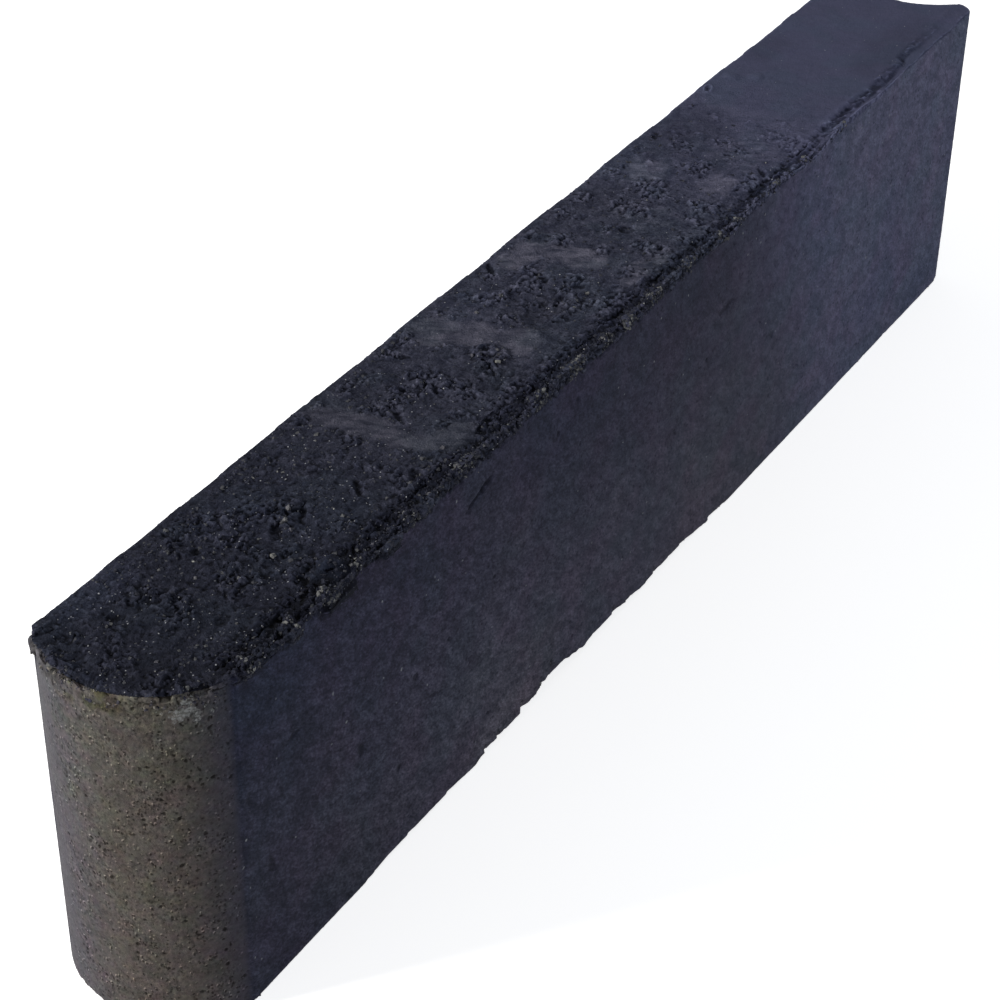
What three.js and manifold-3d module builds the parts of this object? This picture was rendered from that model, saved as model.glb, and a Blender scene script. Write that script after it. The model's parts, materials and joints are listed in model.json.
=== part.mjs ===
// A concrete kerb stone: one solid casting, with no pieces and nothing inside it.
//
// It is cast upright in an open mould. The bed and the two long faces are flat mould faces. The
// top is struck off and tamped, which leaves low waves across it and squeezes a lip of paste over
// the front arris. One end is a tongue, a full-width round end, and the other end has a shallow
// groove of the same curve, so that the tongue of the next kerb seats in it like a knuckle and the
// row can turn a bend.
//
// Millimetres. +X runs along the kerb to its grooved end, +Y from the front face to the back face
// and +Z up. The origin is the middle of the bed.

import * as THREE from 'three';
import { mergeVertices } from 'three/addons/utils/BufferGeometryUtils.js';
import Module from 'manifold-3d';

// Body
const FACE_LENGTH = 1000; // from the tongue's front crease to the tips of the grooved end
const WIDTH = 120;
const HEIGHT = 250; // bed to the mean level of the struck top between its waves
const ARRIS_RADIUS = 16; // the two upright arrises at the grooved end

// Knuckle ends
const KNUCKLE_OFFSET = 7; // both arcs are centred this far behind the centreline
const TONGUE_SPREAD = 3; // how much more than the front face's distance the tongue's radius is
const GROOVE_DEPTH = 22;
const JOINT_CLEARANCE = 1.5; // the groove's radius is larger by this much

// Waves that the tamping leaves across the top
const CREST_COUNT = 5;
const CREST_PITCH = 135;
const CREST_HEIGHT = 1.6;
const FIRST_CREST = 225; // from the tongue's crease

// Swell of the struck top: ripples that cross each other, by their wavelengths in X and Y
const SWELL_HEIGHT = 0.8;
const RIPPLES = [
  { along: 61, across: 88, share: 0.5 },
  { along: 37, across: -54, share: 0.3 },
  { along: 26, across: 33, share: 0.2 },
];

// Lip of squeezed paste along the front arris, and the trench behind it
const LIP_LENGTH = 865; // from the tongue's crease
const LIP_WIDTH = 6;
const LIP_HEIGHT = 2;
const LIP_FOOT = 8; // how far its underside reaches down the front face
const LIP_OVERHANG = 3.2; // past the front face, where a trough squeezed it out
const LIP_SET_BACK = 1; // behind the front face, on a crest
const LIP_ROOT = 4; // how far its root reaches into the body
const LIP_DROOP = 2.7; // drop of its underside from its root to its edge
const CORNER_OVERHANG = 3.2; // added to the overhang at the crease
const CORNER_REACH = 75; // length over which the added overhang runs out
const TRENCH_WIDTH = 9;
const TRENCH_DEPTH = 2.2;
const BITE_FROM_CREASE = 107; // middle of a bite out of the lip
const BITE_LENGTH = 44;
const BITE_FLAT = 22; // length of the bite's middle, where the lip is wholly gone

// Hollows of the struck top. Each is placed by its distances from the crease and the front face,
// and turned by this many degrees from the kerb's run.
const HOLLOWS = [
  { at: 5, inset: 85, length: 13, width: 7, depth: 2.2, turn: -40 },
  { at: 35, inset: 65, length: 15, width: 9, depth: 2.2, turn: 60 },
  { at: 35, inset: 34, length: 13, width: 8, depth: 2.2, turn: 10 },
  { at: 77, inset: 85, length: 11, width: 6, depth: 1.8, turn: 45 },
  { at: 103, inset: 40, length: 10, width: 6, depth: 2.0, turn: 0 },
  { at: 118, inset: 58, length: 17, width: 9, depth: 2.4, turn: 35 },
  { at: 141, inset: 56, length: 22, width: 5, depth: 1.8, turn: 30 },
  { at: 178, inset: 42, length: 19, width: 6, depth: 2.2, turn: 45 },
  { at: 206, inset: 20, length: 17, width: 9, depth: 2.4, turn: 40 },
  { at: 257, inset: 69, length: 36, width: 6, depth: 1.8, turn: 55 },
  { at: 280, inset: 14, length: 44, width: 9, depth: 1.8, turn: 5 },
  { at: 311, inset: 104, length: 21, width: 7, depth: 2.4, turn: -70 },
  { at: 332, inset: 48, length: 17, width: 6, depth: 2.4, turn: 60 },
  { at: 425, inset: 51, length: 19, width: 6, depth: 2.2, turn: 10 },
  { at: 437, inset: 112, length: 15, width: 5, depth: 2.0, turn: 45 },
  { at: 445, inset: 77, length: 16, width: 8, depth: 2.0, turn: 60 },
  { at: 532, inset: 60, length: 13, width: 12, depth: 2.0, turn: 0 },
  { at: 655, inset: 18, length: 23, width: 6, depth: 1.6, turn: 45 },
  { at: 665, inset: 111, length: 17, width: 6, depth: 1.6, turn: 20 },
  { at: 750, inset: 113, length: 12, width: 6, depth: 2.2, turn: 20 },
];

// Lumps of the struck top, placed the same way
const LUMP_ROOT = 6; // how far a lump reaches into the body under it
const LUMPS = [
  { at: 115, inset: 17, length: 29, width: 20, height: 2.2, turn: 0 },
  { at: 380, inset: 43, length: 13, width: 10, height: 1.2, turn: 20 },
  { at: 682, inset: 98, length: 14, width: 11, height: 1.2, turn: 30 },
  { at: 778, inset: 108, length: 16, width: 12, height: 1.2, turn: 80 },
  { at: 788, inset: 92, length: 14, width: 12, height: 1.2, turn: 0 },
];

// Spalls along the front arris of the bed, each a scoop placed by its distance from the crease
const SPALLS = [
  { at: 180, length: 130, height: 4, depth: 3 },
  { at: 283, length: 80, height: 6, depth: 4 },
  { at: 350, length: 75, height: 14, depth: 8 },
  { at: 415, length: 130, height: 7, depth: 5 },
  { at: 505, length: 120, height: 5, depth: 4 },
];

// Facets
const TONGUE_FACETS = 40;
const GROOVE_FACETS = 96; // round the whole cutter
const ARRIS_FACETS = 8;
const TOP_STEP = 7; // spacing of the struck top's grid along the kerb
const TOP_ROWS = 12; // rows of that grid behind the trench
const LIP_STEP = 8;
const SCOOP_FACETS = 14;
const STOCK = 6; // cast height that the strike takes off, and the cutter's margin all round

// Derived places
const FRONT = -WIDTH / 2;
const BACK = WIDTH / 2;
const TONGUE_RADIUS = KNUCKLE_OFFSET - FRONT + TONGUE_SPREAD;
const GROOVE_RADIUS = TONGUE_RADIUS + JOINT_CLEARANCE;
const arcDepth = (radius, halfChord) => radius - Math.sqrt(radius ** 2 - halfChord ** 2);
const FRONT_CREASE_DEPTH = arcDepth(TONGUE_RADIUS, KNUCKLE_OFFSET - FRONT);
const TOTAL_LENGTH = FACE_LENGTH + FRONT_CREASE_DEPTH;
const TIP = -TOTAL_LENGTH / 2;
const FAR_END = TOTAL_LENGTH / 2;
const CREASE = TIP + FRONT_CREASE_DEPTH;
const CAST_HEIGHT = HEIGHT + CREST_HEIGHT + LIP_HEIGHT + STOCK;

const wasm = await Module();
wasm.setup();

function solidOf(geometry) {
  geometry.deleteAttribute('normal');
  geometry.deleteAttribute('uv');
  const merged = mergeVertices(geometry);
  return new wasm.Manifold(new wasm.Mesh({
    numProp: 3,
    vertProperties: new Float32Array(merged.attributes.position.array),
    triVerts: new Uint32Array(merged.index.array),
  }));
}

function geometryOf(solid) {
  const { vertProperties, triVerts } = solid.getMesh();
  const geometry = new THREE.BufferGeometry();
  geometry.setAttribute('position', new THREE.BufferAttribute(vertProperties, 3));
  geometry.setIndex(new THREE.BufferAttribute(triVerts, 1));
  return geometry;
}

// A box whose vertices are moved to place(u, v, w), each from -0.5 to 0.5
function mappedBox(segmentsU, segmentsV, place) {
  const geometry = new THREE.BoxGeometry(1, 1, 1, segmentsU, segmentsV, 1);
  const position = geometry.attributes.position;
  const point = new THREE.Vector3();
  for (let i = 0; i < position.count; i += 1) {
    point.fromBufferAttribute(position, i);
    position.setXYZ(i, ...place(point.x, point.y, point.z));
  }
  return geometry;
}

const smooth = (value, from, to) => THREE.MathUtils.smoothstep(value, from, to);

// Struck top -------------------------------------------------------------------------------

// 1 on a crest, 0 in a trough and outside the waved stretch
function crest(x) {
  const pitches = (x - CREASE - FIRST_CREST) / CREST_PITCH;
  if (pitches < -0.5 || pitches > CREST_COUNT - 0.5) return 0;
  return (1 + Math.cos(2 * Math.PI * pitches)) / 2;
}

// 1 along the lip, fading to 0 at its two ends
function alongLip(x) {
  const from = x - CREASE;
  return smooth(from, -LIP_WIDTH, LIP_WIDTH) * (1 - smooth(from, LIP_LENGTH - CORNER_REACH, LIP_LENGTH));
}

// 1 in the middle of the bite, 0 outside it
function bite(x) {
  return 1 - smooth(Math.abs(x - CREASE - BITE_FROM_CREASE), BITE_FLAT / 2, BITE_LENGTH / 2);
}

function swell(x, inset) {
  const ripple = ({ along, across, share }) => share * Math.sin(2 * Math.PI * (x / along + inset / across));
  return SWELL_HEIGHT * RIPPLES.reduce((sum, each) => sum + ripple(each), 0);
}

// Height of the top at x, inset by this much from the front face
function topHeight(x, inset) {
  const lip = LIP_HEIGHT * (1 - smooth(inset, LIP_WIDTH / 2, LIP_WIDTH)) * (1 - bite(x));
  const trenchCentre = LIP_WIDTH + TRENCH_WIDTH / 2;
  const trench = TRENCH_DEPTH * (1 - smooth(Math.abs(inset - trenchCentre), 0, TRENCH_WIDTH / 2));
  return HEIGHT + CREST_HEIGHT * crest(x) + swell(x, inset) * (1 - crest(x)) + (lip - trench) * alongLip(x);
}

// Insets of the grid's rows: close together over the lip and the trench, then wide apart
function topRows() {
  const trenchEnd = LIP_WIDTH + TRENCH_WIDTH;
  const rows = [-STOCK, LIP_WIDTH / 2, LIP_WIDTH, LIP_WIDTH + TRENCH_WIDTH / 2, trenchEnd];
  for (let i = 1; i <= TOP_ROWS; i += 1) {
    rows.push(THREE.MathUtils.lerp(trenchEnd, WIDTH + STOCK, i / TOP_ROWS));
  }
  return rows;
}

// Everything above the struck top
function strike() {
  const rows = topRows();
  const rowCount = rows.length - 1;
  const columnCount = Math.ceil(TOTAL_LENGTH / TOP_STEP);
  const length = TOTAL_LENGTH + 2 * STOCK;
  return mappedBox(columnCount, rowCount, (u, v, w) => {
    const x = u * length;
    const inset = rows[Math.round((v + 0.5) * rowCount)];
    return [x, FRONT + inset, w < 0 ? topHeight(x, inset) : CAST_HEIGHT + STOCK];
  });
}

// Lip --------------------------------------------------------------------------------------

// How far the lip stands past the front face at x, below 0 where it doesn't reach the face
function overhang(x) {
  const corner = CORNER_OVERHANG * (1 - smooth(x - CREASE, 0, CORNER_REACH));
  const squeezed = THREE.MathUtils.lerp(LIP_OVERHANG, -LIP_SET_BACK, crest(x));
  const gone = (1 - alongLip(x)) + bite(x);
  return (corner + squeezed) * alongLip(x) - LIP_WIDTH / 2 * gone;
}

// The part of the lip that hangs over the front face, with its root inside the body
function overhangingLip() {
  const segments = Math.ceil(LIP_LENGTH / LIP_STEP);
  return mappedBox(segments, 1, (u, v, w) => {
    const x = CREASE + (u + 0.5) * LIP_LENGTH;
    const top = topHeight(x, 0) - LIP_HEIGHT / 2;
    if (v > 0) return [x, FRONT + LIP_ROOT, w > 0 ? top : HEIGHT - LIP_FOOT - LIP_WIDTH];
    return [x, FRONT - overhang(x), w > 0 ? top : top - LIP_DROOP];
  });
}

// Plan -------------------------------------------------------------------------------------

function plan() {
  const tongueFrom = Math.atan2(FRONT - KNUCKLE_OFFSET, CREASE - (TIP + TONGUE_RADIUS));
  const backCrease = TIP + arcDepth(TONGUE_RADIUS, BACK - KNUCKLE_OFFSET);
  const tongueTo = Math.atan2(BACK - KNUCKLE_OFFSET, backCrease - (TIP + TONGUE_RADIUS));
  const points = [
    ...arc(FAR_END - ARRIS_RADIUS, FRONT + ARRIS_RADIUS, ARRIS_RADIUS, -Math.PI / 2, 0, ARRIS_FACETS),
    ...arc(FAR_END - ARRIS_RADIUS, BACK - ARRIS_RADIUS, ARRIS_RADIUS, 0, Math.PI / 2, ARRIS_FACETS),
    ...arc(TIP + TONGUE_RADIUS, KNUCKLE_OFFSET, TONGUE_RADIUS, tongueTo,
      tongueFrom + 2 * Math.PI, TONGUE_FACETS),
  ];
  return new THREE.Shape(points);
}

function arc(centreX, centreY, radius, from, to, facets) {
  const points = [];
  for (let i = 0; i <= facets; i += 1) {
    const angle = THREE.MathUtils.lerp(from, to, i / facets);
    points.push(new THREE.Vector2(centreX + radius * Math.cos(angle), centreY + radius * Math.sin(angle)));
  }
  return points;
}

// The cutter of the groove, which is the next kerb's tongue with some clearance
function groove() {
  const cutter = new THREE.CylinderGeometry(GROOVE_RADIUS, GROOVE_RADIUS, 2 * CAST_HEIGHT, GROOVE_FACETS);
  cutter.rotateX(Math.PI / 2);
  cutter.translate(FAR_END - GROOVE_DEPTH + GROOVE_RADIUS, KNUCKLE_OFFSET, 0);
  return cutter;
}

// Spalls, hollows and lumps ----------------------------------------------------------------

function ball(length, width, height) {
  const geometry = new THREE.SphereGeometry(1, SCOOP_FACETS, SCOOP_FACETS / 2);
  geometry.scale(length / 2, width / 2, height);
  return geometry;
}

// A scoop out of the bed's front arris
function spall({ at, length, height, depth }) {
  return ball(length, 2 * depth, height).translate(CREASE + at, FRONT, 0);
}

// A ball set into the struck top, half of it above the surface
function onTop(shape, { at, inset, turn }) {
  shape.rotateZ(THREE.MathUtils.degToRad(turn));
  const x = CREASE + at;
  return shape.translate(x, FRONT + inset, topHeight(x, inset));
}

function hollow(place) {
  return onTop(ball(place.length, place.width, place.depth), place);
}

// A lump with its root in the body, so that none bridges the trench
function lump(place) {
  const shape = ball(place.length, place.width, place.height);
  const position = shape.attributes.position;
  for (let i = 0; i < position.count; i += 1) {
    const z = position.getZ(i);
    if (z < 0) position.setZ(i, z * LUMP_ROOT / place.height);
  }
  return onTop(shape, place);
}

// Kerb -------------------------------------------------------------------------------------

function kerbSolid() {
  const casting = new THREE.ExtrudeGeometry(plan(), { depth: CAST_HEIGHT, bevelEnabled: false });
  const struck = solidOf(casting).subtract(solidOf(groove())).subtract(solidOf(strike()));
  const added = [overhangingLip(), ...LUMPS.map(lump)].map(solidOf);
  const takenOff = [...HOLLOWS.map(hollow), ...SPALLS.map(spall)].map(solidOf);
  const all = wasm.Manifold.union([struck, ...added]);
  return all.subtract(wasm.Manifold.union(takenOff));
}

const concrete = new THREE.MeshStandardMaterial({
  name: 'concrete',
  color: 0x34353d,
  roughness: 0.92,
  metalness: 0,
});

const kerb = new THREE.Group();
const kerbStone = new THREE.Mesh(geometryOf(kerbSolid()), concrete);
kerbStone.name = 'kerb_stone';
kerb.add(kerbStone);

export default kerb;
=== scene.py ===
import json
import math

import bpy
import numpy as np
from bpy.props import FloatProperty, FloatVectorProperty, IntProperty, PointerProperty
from mathutils import Matrix, Vector

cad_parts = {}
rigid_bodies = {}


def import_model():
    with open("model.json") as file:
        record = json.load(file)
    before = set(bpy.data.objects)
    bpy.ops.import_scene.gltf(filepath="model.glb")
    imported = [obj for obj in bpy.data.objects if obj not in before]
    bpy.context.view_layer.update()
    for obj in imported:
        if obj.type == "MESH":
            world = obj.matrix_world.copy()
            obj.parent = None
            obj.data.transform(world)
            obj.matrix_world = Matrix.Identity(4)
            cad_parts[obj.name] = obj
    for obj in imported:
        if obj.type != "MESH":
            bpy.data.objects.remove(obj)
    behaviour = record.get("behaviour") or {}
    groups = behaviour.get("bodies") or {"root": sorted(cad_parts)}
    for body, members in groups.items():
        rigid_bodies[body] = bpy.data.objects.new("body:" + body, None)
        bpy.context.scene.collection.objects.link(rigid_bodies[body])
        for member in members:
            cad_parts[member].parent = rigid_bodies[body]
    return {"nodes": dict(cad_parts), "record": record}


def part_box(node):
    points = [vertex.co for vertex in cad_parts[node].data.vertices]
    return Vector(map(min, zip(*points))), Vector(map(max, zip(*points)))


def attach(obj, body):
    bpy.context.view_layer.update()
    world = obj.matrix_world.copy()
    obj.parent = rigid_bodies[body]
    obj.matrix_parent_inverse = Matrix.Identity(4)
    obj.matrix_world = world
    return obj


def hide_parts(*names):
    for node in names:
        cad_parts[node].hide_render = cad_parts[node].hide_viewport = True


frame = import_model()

bl_info = {
    "name": "Concrete kerb stone",
    "version": (1, 0, 0),
    "blender": (4, 5, 0),
    "location": "View3D > Sidebar > Kerb",
    "description": "Builds a weathered concrete kerb stone with knuckle ends",
    "category": "Add Mesh",
}

SOLID = "kerb_stone"
BODY = "root"
MM = 1000  # millimetres in a metre: the patterns below are written in millimetres
UP = Vector((0, 0, 1))
DOWN = Vector((0, 0, -1))

LOW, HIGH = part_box(SOLID)
MOUNTS = {mount["name"]: Vector(mount["pos_m"]) for mount in frame["record"]["mounts"]}
FRONT = MOUNTS["front_face"].y
BACK = MOUNTS["back_face"].y

# Chips out of the bed's front arris: place along the kerb, length and height, in millimetres
BED_CHIPS = (
    (-300, 24, 4), (-250, 30, 4), (-213, 13, 9), (-198, 12, 11), (-163, 22, 13), (-143, 12, 13),
    (-127, 18, 20), (-96, 26, 7.5), (-68, 20, 7), (-42, 16, 12), (-20, 18, 7), (17, 14, 9),
    (40, 16, 5.5), (62, 22, 7), (108, 26, 3.5),
)

# Stones that stand out pale on the top: x, y and size, in millimetres
PALE_STONES = (
    (-338, 3, 3.4), (-348, -1, 3.8), (-352, -9, 2.6), (-378, -15, 3.0), (-407, 20, 2.0),
    (-418, 10, 2.0), (-385, 28, 2.0), (-497, -45, 2.2), (-488, -17, 2.2), (-236, -38, 3.0),
    (-200, 10, 2.2), (-140, 2, 2.4), (-138, -16, 3.2), (-127, -9, 2.6), (-94, 28, 2.6), (-53, -22, 2.2),
    (-32, -20, 2.4), (-46, -57, 2.8), (-78, -58, 2.6), (215, -57, 2.2), (-421, -55, 2.0),
    (-426, -58, 2.6), (-423, -57, 1.8), (-386, -54, 2.0), (-390, -58, 2.4), (-358, -58, 2.6),
    (-354, -55, 1.8), (-361, -57, 2.0), (-339, -57, 2.0), (-305, -56, 2.0), (-308, -58, 2.4),
    (-281, -58, 2.2), (-249, -57, 2.2), (-222, -58, 1.8), (-192, -57, 1.8), (-158, -57, 1.8),
)

# Places on the top that the trowel left smooth: x, y, span along the kerb and across it, turn, share
TROWELLED = (
    (-242, 8, 30, 116, 4, 1.0), (-222, -36, 50, 26, 0, 0.9), (-126, 36, 42, 48, 14, 1.0),
    (-110, -14, 44, 30, 0, 0.9), (-116, 14, 40, 36, 14, 0.9), (-14, 42, 52, 28, -8, 1.0),
    (4, 12, 28, 68, 14, 1.0), (15, -36, 74, 22, 0, 0.6), (80, 2, 60, 50, 0, 0.3),
    (135, 30, 40, 36, 0, 0.6), (146, -26, 34, 30, 0, 0.65), (205, -18, 80, 60, 0, 0.4),
    (262, 14, 30, 70, 5, 0.9), (292, 50, 36, 22, 0, 0.7),
)

# Lobes that hang from the lip: place along the kerb, length and how far below the top they reach
LOBES = ((-379, 33, 12.0), (-329, 20, 8.0), (-292, 16, 5.0), (-424, 14, 7.0))

# The round lump that stands on the lip by the tongue: x, distance from the front face, length, width
ROUND_LUMP = (-371, 10, 31, 25)
LUMP_HEIGHT = 4.8
HOLLOW_WIDER = 14  # how much wider the hollow round that lump is
HOLLOW_DEPTH = 3.4

# A stone bedded in the smooth end of the top: x, y, length, width, turn in degrees and height
BEDDED_STONE = (275, 53, 16, 9, 20, 1.1)

# A large crumb on the tongue's rim: y, distance below the top, width, height and how far it stands out
RIM_CRUMB = (52, 5, 9, 12, 2.4)

# Places on the top made brighter or darker: x, y, span along the kerb and across it, share of the
# brightness
TONE_SPOTS = (
    (-458, 50, 80, 36, 1.65), (-362, 26, 80, 50, 1.25), (-340, -20, 70, 40, 1.10),
    (205, 36, 120, 72, 0.74), (420, -34, 150, 48, 0.84), (365, 48, 60, 34, 0.84),
    (-500, -30, 60, 60, 0.80), (-70, -8, 64, 40, 0.78), (85, 30, 60, 50, 0.85),
    (-150, -17, 44, 46, 0.82), (285, -50, 160, 18, 1.25), (-90, 34, 64, 40, 1.22),
    (180, -7, 80, 26, 0.82), (-482, -55, 50, 18, 0.66), (-395, -55, 130, 16, 0.80),
)

# Clusters of pale crumbs on the lip: place along the kerb and length
LIP_CLUSTERS = (
    (-463, 12), (-420, 7), (-388, 13), (-357, 9), (-305, 14), (-244, 28), (-156, 22), (-112, 26),
    (-76, 14), (-45, 14), (-10, 24), (40, 16), (85, 12), (110, 10), (172, 8), (215, 8), (272, 22),
    (350, 20),
)

# Marks in the front face: x, z, length, height, turn in degrees, depth
FACE_MARKS = (
    (-228, 220.5, 38, 5.5, 18, 2.0), (-425, 171, 20, 5, 4, 0.9), (-360, 111, 9, 13, 0, 0.8),
    (-466, 155, 12, 15, 0, 0.7), (-452, 92, 10, 16, 10, 0.7), (-280, 98, 22, 4, -12, 0.8),
    (-300, 126, 9, 7, 0, 0.8), (-320, 67, 8, 6, 20, 0.8), (100, 185, 26, 7, 5, 1.2),
    (180, 120, 14, 6, -10, 0.8),
)

PALE_PATCH = (-195, 16, 110, 44)  # low on the front face: x, z, length and height
LIME_BLOOM = (-46, 236, 9)  # under the tongue's rim: y, z and radius
STREAKS = (0.526, -0.85)  # the way the trowel's streaks run over the top, in x and y

# Loose grains
GRAIN_KINDS = 8
GRAIN_CUTS = 5  # flat sides cut on each
FULL_TURN = 6.28
MOST_IN_A_PIECE = 200000  # triangles that a scattered piece must stay under

# Studio lamps: name, place, size, power and colour
LAMPS = (
    ("key_light", (-2.6, 1.9, 1.8), 0.6, 140, (1.0, 0.97, 0.92)),
    ("fill_light", (0.6, -3.4, 1.6), 3.0, 36, (0.93, 0.96, 1.0)),
)
LAMP_AIM = Vector((0, 0, 0.1))
FLOOR_SPAN = 24


# Properties -----------------------------------------------------------------------------------

def length(name, description, default):
    """A size in metres."""
    return FloatProperty(name=name, description=description, default=default, unit="LENGTH")


def tint(name, description, red, green, blue):
    """A colour written in display values from 0 to 255."""
    parts = [value / 255 for value in (red, green, blue)]
    linear = [part / 12.92 if part <= 0.04045 else ((part + 0.055) / 1.055) ** 2.4 for part in parts]
    return FloatVectorProperty(name=name, description=description, default=linear,
                               size=3, min=0, max=1, subtype="COLOR")


class KerbSizes(bpy.types.PropertyGroup):
    height: length("Height", "Bed to the struck top between its waves", 0.250)
    tongue_radius: length("Tongue radius", "Radius of the round end", 0.070)
    knuckle_offset: length("Knuckle offset", "From the middle to the tongue's axis, backwards", 0.007)
    lip_length: length("Lip length", "Length of the squeezed lip, from the crease", 0.865)


class KerbSurface(bpy.types.PropertyGroup):
    face_step: length("Face step", "Spacing of the mesh on the mould faces", 0.0020)
    tongue_step: length("Tongue step", "Spacing of the mesh on the tongue", 0.0009)
    top_step: length("Top step", "Spacing of the mesh on the struck top", 0.0009)
    most_triangles: IntProperty(name="Most triangles", description="Triangles kept on one piece",
                                default=192000)
    seam_height: length("Seam height", "Underside of the struck top's skin", 0.238)
    seam_overlap: length("Seam overlap", "How far the casting reaches into the skin", 0.002)
    crumb_size: length("Crumb size", "Spacing of the coarse crumbs on the top", 0.0052)
    crumb_height: length("Crumb height", "Height of the coarse crumbs", 0.0018)
    pit_depth: length("Pit depth", "Depth of the pits between the crumbs", 0.0030)
    seed: IntProperty(name="Seed", description="Seed of the loose grains", default=7)


class KerbColours(bpy.types.PropertyGroup):
    mould_near: tint("Mould face, near", "Mould faces by the tongue", 38, 41, 56)
    mould_middle: tint("Mould face, middle", "Upper half of the mould faces", 45, 45, 60)
    mould_far: tint("Mould face, far", "Mould faces by the groove", 81, 83, 104)
    bed_near: tint("Bed side, near", "Mould faces low down by the tongue", 45, 45, 58)
    bed_far: tint("Bed side, middle", "Mould faces low down", 70, 69, 81)
    struck: tint("Struck top", "Rough part of the top", 33, 35, 47)
    smooth_end: tint("Smooth end", "Top past the last wave", 67, 69, 91)
    dusty: tint("Dusty end", "Weathered tongue", 80, 77, 73)
    crumb: tint("Crumb", "Broken crumbs along the lip", 123, 123, 121)
    dust: tint("Dust", "Crumbs on the tongue's rim", 124, 119, 111)
    stone: tint("Stone", "Stones that stand out pale on the top", 124, 124, 120)


class KerbStage(bpy.types.PropertyGroup):
    floor: tint("Floor", "Pale floor", 235, 235, 236)
    camera_place: FloatVectorProperty(name="Camera", description="Where the camera stands",
                                      default=(-1.28667, -0.72099, 1.11873), size=3, unit="LENGTH")
    camera_aim: FloatVectorProperty(name="Aim", description="Point in the middle of the view",
                                    default=(-0.11446, -0.00469, 0.125), size=3, unit="LENGTH")
    camera_roll: FloatProperty(name="Roll", description="Turn of the camera about its line of sight",
                               default=math.radians(0.7436), subtype="ANGLE")
    lens: FloatProperty(name="Lens", description="Focal length in millimetres", default=90.78)


def settings(group):
    """One of the kerb's groups of settings: sizes, surface, colours or stage."""
    return getattr(bpy.context.scene, f"kerb_{group}")


# Node trees -----------------------------------------------------------------------------------

class Value:
    """A socket that works in Python expressions: each operator adds one Math node."""

    def __init__(self, nodes, socket):
        self.nodes = nodes
        self.socket = socket

    def maths(self, operation, *values):
        return self.nodes.add("ShaderNodeMath", {"operation": operation}, dict(enumerate(values)))

    def __add__(self, other):
        return self.maths("ADD", self, other)

    def __radd__(self, other):
        return self.maths("ADD", other, self)

    def __sub__(self, other):
        return self.maths("SUBTRACT", self, other)

    def __rsub__(self, other):
        return self.maths("SUBTRACT", other, self)

    def __mul__(self, other):
        return self.maths("MULTIPLY", self, other)

    def __rmul__(self, other):
        return self.maths("MULTIPLY", other, self)

    def __truediv__(self, other):
        return self.maths("DIVIDE", self, other)

    def __rtruediv__(self, other):
        return self.maths("DIVIDE", other, self)

    def __pow__(self, other):
        return self.maths("POWER", self, other)

    def __abs__(self):
        return self.maths("ABSOLUTE", self)

    def least(self, other):
        return self.maths("MINIMUM", self, other)

    def most(self, other):
        return self.maths("MAXIMUM", self, other)

    def sqrt(self):
        return self.maths("SQRT", self)

    def ramp(self, start, end):
        """0 before start and 1 after end, smooth between them. Start may lie past end."""
        return self.nodes.add("ShaderNodeMapRange", {"interpolation_type": "SMOOTHSTEP"},
                              {0: self, 1: start, 2: end, 3: 0.0, 4: 1.0})


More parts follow.
